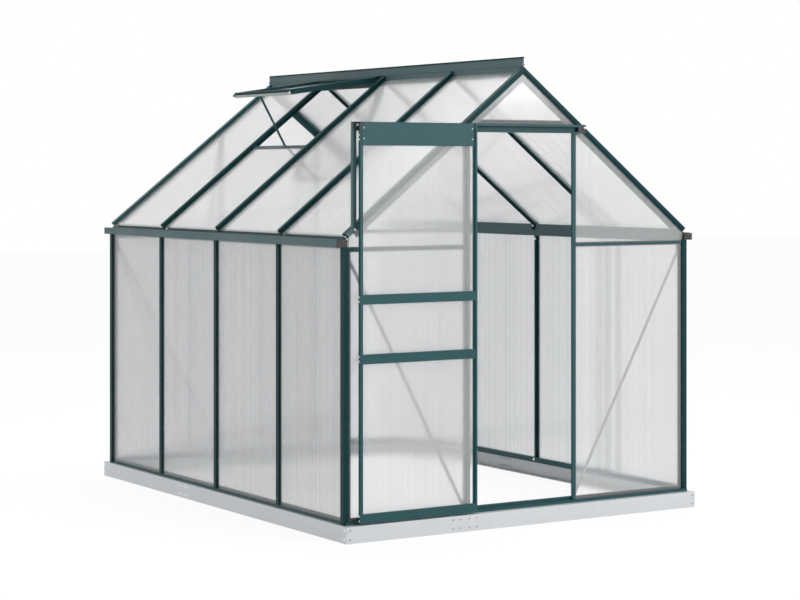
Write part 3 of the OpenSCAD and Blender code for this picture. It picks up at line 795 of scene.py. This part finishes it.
@dataclass
class SteelBase:
    """The galvanised channels under the walls, with the bolts that join them."""

    joint_x: float = -0.348
    joint_y: float = 0.310
    rows: tuple[float, float] = (0.018, 0.056)
    lone_y: float = 1.035
    joint_columns: tuple[float, ...] = (-0.062, -0.024, 0.023, 0.061)
    side_columns: tuple[float, ...] = (-0.043, -0.014, 0.014, 0.043)
    corner_in: float = 0.016
    web_t: float = 0.0015
    plate_t: float = 0.0015
    nodes: tuple[str, ...] = (
        "base_front", "base_back", "base_left", "base_right", "base_corner_angles", "base_splice_plates",
    )

    def build(self) -> None:
        """Dresses the channels and bolts them together."""
        dress(self.nodes, ZINC_BASE, 0.0006)
        self.bolts()

    def bolts(self) -> None:
        """Bolts at the joints and corners, on the outside of the channels."""
        low, high = box("base_front")
        half_x, half_y = high.x, -low.y
        wall = self.web_t + self.plate_t
        on_gables: list[Fixing] = []
        on_sides: list[Fixing] = []
        nuts: list[Fixing] = []
        for way in (-1, 1):
            gable = Vector((0, way, 0))
            side = Vector((way, 0, 0))
            for z in self.rows:
                for column in self.joint_columns:
                    at = Vector((self.joint_x + column, way * half_y, z))
                    on_gables.append(Fixing(at, gable))
                    nuts.append(Fixing(at - gable * wall, -gable))
                for column in self.side_columns:
                    at = Vector((way * half_x, self.joint_y + column, z))
                    on_sides.append(Fixing(at, side))
                    nuts.append(Fixing(at - side * wall, -side))
                for end in (-1, 1):
                    on_gables.append(Fixing(Vector((end * (half_x - self.corner_in), way * half_y, z)), gable))
                    on_sides.append(Fixing(Vector((way * half_x, end * (half_y - self.corner_in), z)), side))
            on_sides.append(Fixing(Vector((way * half_x, self.lone_y, sum(self.rows) / 2)), side))
        fixings("base_bolts_gables", PanHead(0.0040, 0.002), on_gables, finish=DULL_ZINC)
        fixings("base_bolts_sides", PanHead(0.0072, 0.0036), on_sides)
        fixings("base_nuts", HexBolt(0.008, 0.003, 0.005, 0.0008), nuts, finish=DULL_ZINC)


@dataclass
class WallFrame:
    """Sills, posts, studs and the thin bars of the gables."""

    nodes: tuple[str, ...] = (
        "sill_front", "sill_back", "sill_left", "sill_right", "door_posts", "eave_bars", "corner_gussets",
    )
    shade_painted_nodes: tuple[str, ...] = ("corner_posts", "side_studs_left", "side_studs_right", "back_studs")

    def build(self) -> None:
        """Dresses the wall frame and adds the nuts inside."""
        dress(self.nodes, GREEN)
        # Corner posts and studs take the shaded copy of the coat: their darker colour is painted shade.
        dress(self.shade_painted_nodes, SHADE_PAINTED_GREEN)
        dress(["gable_braces"], DULL_ZINC, 0.0004)
        self.stud_nuts()

    def stud_nuts(self) -> None:
        """Nuts at the head and foot of each stud, inside the long walls."""
        low, _ = box("side_studs_right")
        sill_low, sill_high = box("sill_right")
        _, top = box("corner_posts")
        places: list[Fixing] = []
        for way in (-1, 1):
            for y in BAY_LINES:
                places.append(Fixing(Vector((way * low.x, y, top.z - 0.026)), Vector((-way, 0, 0))))
                foot = (sill_low.z + sill_high.z) / 2 + 0.003
                places.append(Fixing(Vector((way * sill_low.x, y, foot)), Vector((-way, 0, 0))))
        fixings("stud_nuts", HexBolt(), places)


@dataclass
class Gutters:
    """The gutters along the eaves and their plastic caps."""

    nodes: tuple[str, ...] = ("gutter_left", "gutter_right")
    bead: float = 0.0028
    wall: float = 0.002

    def build(self) -> None:
        """Dresses the gutters and their caps and rolls the outer rims."""
        # The gutters take the lit copy of the coat: its extra sheen is a painted highlight.
        dress(self.nodes, SHEEN_LIT_GREEN)
        dress(["gutter_end_caps"], BLACK_PLASTIC, 0.001)
        self.rims()

    def rims(self) -> None:
        """A round bead along the rim of each gutter's outer wall."""
        _, cap = box("gutter_end_caps")
        mesh = Body()
        for node, way in zip(self.nodes, (-1, 1)):
            low, high = box(node)
            start = Vector((way * (cap.x - self.wall / 2), low.y, cap.z))
            place = Matrix.Translation(start) @ basis(Vector((0, 1, 0)))
            length = high.y - low.y
            mesh.turned([(self.bead, 0.0), (self.bead, length)], place, 16)
        # The rim bead takes the lit copy of the coat, so its sheen paints a light line along the rim.
        mesh.done("gutter_rims", SHEEN_LIT_GREEN, HOUSE)


@dataclass
class Roof:
    """Rafters, bars and the ridge."""

    nodes: tuple[str, ...] = ("gable_rafters_back",)
    shade_painted_nodes: tuple[str, ...] = ("gable_rafters_front", "roof_bars_left", "roof_bars_right")
    bar_foot: float = 0.0235
    rib_w: float = 0.007
    rib_t: float = 0.0012
    rib_start: float = 0.002
    rib_stop: float = 0.014
    hem_w: float = 0.010
    hem_t: float = 0.0065
    foot_bolt_in: float = 0.0095
    foot_bolt_y: float = 0.014
    foot_bolt_up: float = 0.0066

    def build(self) -> None:
        """Dresses the roof frame and adds its ribs, hem and bolts."""
        dress(self.nodes, GREEN)
        # The front rafters and roof bars take the shaded copy of the coat (painted shade), and the ridge takes
        # the lit copy (painted highlight).
        dress(self.shade_painted_nodes, SHADE_PAINTED_GREEN)
        dress(["ridge"], SHEEN_LIT_GREEN)
        self.ribs()
        self.ridge_hem()
        self.foot_bolts()

    def ribs(self) -> None:
        """A low rib along the outer face of each roof bar."""
        mesh = Body()
        angle = self.slope()
        half = self.rib_w / 2
        for node, way in (("roof_bars_left", -1), ("roof_bars_right", 1)):
            low, high = box(node)
            eave = Vector((way * max(abs(low.x), abs(high.x)), 0, 0))
            top = Vector((way * min(abs(low.x), abs(high.x)), 0, high.z))
            eave.z = top.z - abs(eave.x - top.x) * math.tan(angle)
            out = Vector((way * math.sin(angle), 0, math.cos(angle)))
            for y in BAY_LINES:
                shift = Vector((0, y, 0))
                place = along(eave + shift, top + shift, out)
                stop = (top - eave).length - self.rib_stop
                mesh.block(
                    Vector((self.rib_start, -half, -SEAT)), Vector((stop, half, self.rib_t)), 0.0003, place
                )
        mesh.done("roof_bar_ribs", GREEN, HOUSE)

    def slope(self) -> float:
        """Returns the slope of the roof in radians, measured on the left bars."""
        low, high = box("roof_bars_left")
        return math.atan2(high.z - low.z - self.bar_foot, high.x - low.x)

    def ridge_hem(self) -> None:
        """The rolled hem along the top of the ridge."""
        low, high = box("ridge")
        mesh = Body()
        half = self.hem_w / 2
        mesh.block(
            Vector((-half, low.y, high.z - self.hem_t)), Vector((half, high.y, high.z + 0.0008)), 0.0009
        )
        # The hem takes the shaded copy of the coat: its dark line along the ridge top is painted shade.
        mesh.done("ridge_hem", SHADE_PAINTED_GREEN, HOUSE)

    def foot_bolts(self) -> None:
        """One bolt on the cut foot of each gable rafter."""
        low, high = box("gable_rafters_front")
        angle = self.slope()
        places: list[Fixing] = []
        for way in (-1, 1):
            out = Vector((way * math.cos(angle), 0, -math.sin(angle)))
            for end in (-1, 1):
                at = Vector((way * (high.x - self.foot_bolt_in), end * (-low.y - self.foot_bolt_y), 0))
                at.z = low.z + self.foot_bolt_up
                places.append(Fixing(at, out))
        fixings("rafter_foot_bolts", PanHead(0.005, 0.0026), places)


@dataclass
class Glazing:
    """Twin-wall sheets in the walls and the roof."""

    along_sides: tuple[str, ...] = ("side_panels_left", "side_panels_right")
    in_roof: tuple[str, ...] = ("roof_panels_left", "roof_panels_right", "vent_panel")
    in_gables: tuple[str, ...] = ("gable_panels_front", "gable_panels_back", "door_panels")

    def build(self) -> None:
        """Dresses the sheets, with their flutes upright or down the slope."""
        # The side sheets take the darker copy of the sheet (painted shade); the roof and gable sheets take the
        # paler copies (painted light).
        dress(self.along_sides, SHADED_SHEET_SIDE, 0)
        dress(self.in_roof, LIT_SHEET_ROOF, 0)
        dress(self.in_gables, LIT_SHEET_GABLE, 0)


@dataclass
class RoofVent:
    """The open vent with its crossbar and stay."""

    nodes: tuple[str, ...] = ("vent_crossbar", "vent_stay")
    strip_low: float = 0.0008
    strip_high: float = 0.0125
    strip_t: float = 0.0012
    lean: float = 0.143
    tip_out: float = 0.022

    def build(self) -> None:
        """Dresses the vent and adds the trim along its foot bar."""
        dress(self.nodes, GREEN, 0.0005)
        # The vent frame takes the shaded copy of the coat: its darker colour is painted shade.
        dress(["vent_frame"], SHADE_PAINTED_GREEN, 0.0005)
        self.foot_trim()

    def foot_trim(self) -> None:
        """A bare strip on the foot bar, a plug in its far end and a pad at its near end."""
        low, high = box("vent_frame")
        out = Vector((-1, 0, -self.lean)).normalized()
        up = Vector((-self.lean, 0, 1)).normalized()
        foot = Vector((low.x + 0.0037, low.y, low.z))
        place = along(foot, foot + Vector((0, 1, 0)), out)
        side = 1.0 if (place.to_3x3() @ Vector((0, 1, 0))).dot(up) > 0 else -1.0
        length = high.y - low.y

        def span(bottom: float, top: float) -> tuple[float, float]:
            """Turns two heights on the bar's face into an ordered pair of local places.

            Args:
                bottom: Lower height.
                top: Upper height.

            Returns:
                The two places, the smaller first.
            """
            a, b = side * bottom, side * top
            return min(a, b), max(a, b)

        y0, y1 = span(self.strip_low, self.strip_high)
        strip = Body()
        strip.block(Vector((0.010, y0, -SEAT)), Vector((length, y1, self.strip_t)), 0.0003, place)
        strip.done("vent_foot_strip", DULL_ZINC, HOUSE)
        y0, y1 = span(0.005, 0.018)
        plug = Body()
        plug.block(Vector((length, y0, -0.011)), Vector((length + self.tip_out, y1, -0.001)), 0.0015, place)
        plug.done("vent_foot_plug", BLACK_PLASTIC, HOUSE)
        y0, y1 = span(0.004, 0.0165)
        pad = Body()
        pad.block(Vector((0.0, y0, -SEAT)), Vector((0.0095, y1, 0.0028)), 0.0006, place)
        pad.done("vent_foot_pad", BOLT_ZINC, HOUSE)


@dataclass
class DoorTrack:
    """The header, the track and the post under its outer end."""

    nodes: tuple[str, ...] = ("door_header", "door_track")
    plug_bolt_down: float = 0.0135
    foot_bolt: tuple[float, float] = (0.040, 0.033)

    def build(self) -> None:
        """Dresses the track and adds the bolts through its plugs."""
        dress(self.nodes, GREEN)
        # The track post takes the lit copy of the coat: its extra sheen is a painted highlight.
        dress(["track_post"], SHEEN_LIT_GREEN)
        dress(["track_end_plugs"], BLACK_PLASTIC, 0.001)
        self.bolts()

    def bolts(self) -> None:
        """One bolt in each plug and one in the bracket on the rafter."""
        low, high = box("track_end_plugs")
        post_low, _ = box("track_post")
        front = Vector((0, -1, 0))
        z = high.z - self.plug_bolt_down
        places = [Fixing(Vector((x, low.y, z)), front) for x in (low.x + 0.008, high.x - 0.007)]
        fixings("track_bolts", PanHead(0.0050, 0.0024), places)
        foot = Vector((post_low.x + self.foot_bolt[0], post_low.y, post_low.z + self.foot_bolt[1]))
        fixings("post_bolt", PanHead(0.0055, 0.003), [Fixing(foot, front)])


@dataclass
class SlidingDoor:
    """The door that hangs on its wheels."""

    nodes: tuple[str, ...] = ("door_stiles", "door_rails", "door_head_plate")
    bolt_in: float = 0.0095
    bolt_rows: tuple[float, float] = (0.0245, 0.0705)
    rail_feet: tuple[float, ...] = (0.078, 0.754, 1.007, 1.694)
    rail_rows: tuple[float, float] = (0.0125, 0.032)
    bumper_at: tuple[float, float] = (-0.0125, 0.0145)
    bumper_size: Point = (0.012, 0.0035, 0.019)

    def build(self) -> None:
        """Dresses the door and bolts the head plate to the stiles and axles."""
        dress(self.nodes, GREEN)
        dress(["door_wheels"], BLACK_PLASTIC, 0.001)
        self.bolts()
        self.bumper()

    def bumper(self) -> None:
        """A small plastic bumper on the upper left corner of the head plate."""
        low, high = box("door_head_plate")
        x0, z1 = low.x + self.bumper_at[0], high.z - self.bumper_at[1]
        mesh = Body()
        mesh.block(
            Vector((x0, low.y - self.bumper_size[1] + 0.002, z1 - self.bumper_size[2])),
            Vector((x0 + self.bumper_size[0], low.y + 0.002, z1)), 0.0008,
        )
        mesh.done("door_bumper", BLACK_PLASTIC, DOOR)

    def bolts(self) -> None:
        """Four bolts through the head plate and a pair at each end of each rail."""
        low, high = box("door_head_plate")
        front = Vector((0, -1, 0))
        places = [
            Fixing(Vector((x, low.y, high.z - down)), front)
            for x in (low.x + self.bolt_in, high.x - self.bolt_in)
            for down in self.bolt_rows
        ]
        fixings("door_bolts", PanHead(0.0038, 0.002), places, DOOR, TINTED_ZINC)
        low, high = box("door_stiles")
        middle = (low.y + high.y) / 2
        edges = [
            Fixing(Vector((x, middle, foot + up)), Vector((way, 0, 0)))
            for x, way in ((low.x, -1), (high.x, 1))
            for foot in self.rail_feet
            for up in self.rail_rows
        ]
        fixings("stile_bolts", PanHead(0.0044, 0.002), edges, DOOR)


# --------------------------------------------------------------------- studio


@dataclass
class Studio:
    """Floor, surround, lamps and camera."""

    ambient: float = 0.71
    floor_level: float = 0.86
    floor_glow: float = 1.03
    camera_at: Point = (-5.590, -8.970, 1.573)
    yaw_deg: float = 32.335
    lens_mm: float = 96.52
    sensor_mm: float = 36.0
    rise: float = -0.1612
    lamps: dict[str, tuple[Point, float, float]] = field(
        default_factory=lambda: {
            "front softbox": ((2.5, -6.5, 3.6), 3.2, 200.0),
            "left softbox": ((-6.0, -1.5, 3.0), 2.6, 12.0),
            "overhead softbox": ((0.5, 1.0, 5.5), 4.0, 120.0),
        }
    )

    def build(self) -> None:
        """Sets up the surround, the floor, the lamps and the camera."""
        bpy.context.scene.view_settings.view_transform = "Standard"
        self.surround()
        self.floor()
        for name, (at, size, power) in self.lamps.items():
            self.softbox(name, Vector(at), size, power)
        self.camera()

    def surround(self) -> None:
        """A white surround that the camera and gloss see at full strength."""
        world = bpy.data.worlds.new("studio surround")
        world.use_nodes = True
        world.node_tree.nodes.clear()
        graph = Graph(world.node_tree)
        path = graph.add("ShaderNodeLightPath").outputs
        seen = graph.math("MAXIMUM", path["Is Camera Ray"], path["Is Glossy Ray"])
        seen = graph.math("MAXIMUM", seen, path["Is Transmission Ray"])
        level = graph.ramp(seen, 0.0, 1.0, self.ambient, 1.0)
        light = graph.add("ShaderNodeBackground", {"Color": (1, 1, 1, 1), "Strength": level})
        output = graph.add("ShaderNodeOutputWorld")
        world.node_tree.links.new(light.outputs[0], output.inputs["Surface"])
        bpy.context.scene.world = world

    def floor(self) -> None:
        """A wide pale floor that keeps a soft shadow."""
        data = bpy.data.meshes.new("studio_floor")
        half = 30.0
        data.from_pydata(
            [(-half, -half, 0), (half, -half, 0), (half, half, 0), (-half, half, 0)], [], [(0, 1, 2, 3)]
        )
        floor = bpy.data.objects.new("studio_floor", data)
        bpy.context.scene.collection.objects.link(floor)
        floor.location.z = -0.0005
        material = bpy.data.materials.new("pale floor")
        material.use_nodes = True
        material.node_tree.nodes.clear()
        graph = Graph(material.node_tree)
        path = graph.add("ShaderNodeLightPath").outputs
        seen = graph.math("MAXIMUM", path["Is Camera Ray"], path["Is Transmission Ray"])
        seen = graph.math("MAXIMUM", seen, path["Is Glossy Ray"])
        matt = graph.add("ShaderNodeBsdfDiffuse", {"Color": (0.9, 0.9, 0.9, 1)})
        glow = graph.add("ShaderNodeEmission", {"Color": (1, 1, 1, 1), "Strength": self.floor_glow})
        share = graph.math("MULTIPLY", seen, self.floor_level)
        mixed = graph.add("ShaderNodeMixShader", {0: share, 1: matt.outputs[0], 2: glow.outputs[0]})
        output = graph.add("ShaderNodeOutputMaterial")
        material.node_tree.links.new(mixed.outputs[0], output.inputs["Surface"])
        data.materials.append(material)

    def softbox(self, name: str, at: Vector, size: float, power: float) -> None:
        """Adds a square area lamp aimed at the middle of the building.

        Args:
            name: The lamp's name.
            at: Where it stands.
            size: Length of its sides.
            power: Its power in watts.
        """
        lamp = bpy.data.lights.new(name, "AREA")
        lamp.shape = "SQUARE"
        lamp.size = size
        lamp.energy = power
        holder = bpy.data.objects.new(name, lamp)
        bpy.context.scene.collection.objects.link(holder)
        holder.location = at
        aim = Vector((0, 0, 1.0)) - at
        holder.rotation_euler = aim.to_track_quat("-Z", "Y").to_euler()

    def camera(self) -> None:
        """Stands a level camera off the door's corner."""
        data = bpy.data.cameras.new("view")
        data.sensor_width = self.sensor_mm
        data.lens = self.lens_mm
        data.shift_y = self.rise
        data.clip_end = 100.0
        holder = bpy.data.objects.new("view", data)
        bpy.context.scene.collection.objects.link(holder)
        holder.location = self.camera_at
        holder.rotation_euler = (math.radians(90), 0.0, math.radians(-self.yaw_deg))
        bpy.context.scene.camera = holder


def main() -> None:
    """Builds every assembly in order."""
    logging.basicConfig(level=logging.INFO, format="%(name)s: %(message)s")
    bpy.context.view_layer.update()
    assemblies = (
        SteelBase(), WallFrame(), Gutters(), Roof(), Glazing(), RoofVent(), DoorTrack(), SlidingDoor(),
        Studio(),
    )
    for assembly in assemblies:
        assembly.build()
        LOG.info("built %s", type(assembly).__name__)


if __name__ == "__main__":
    main()
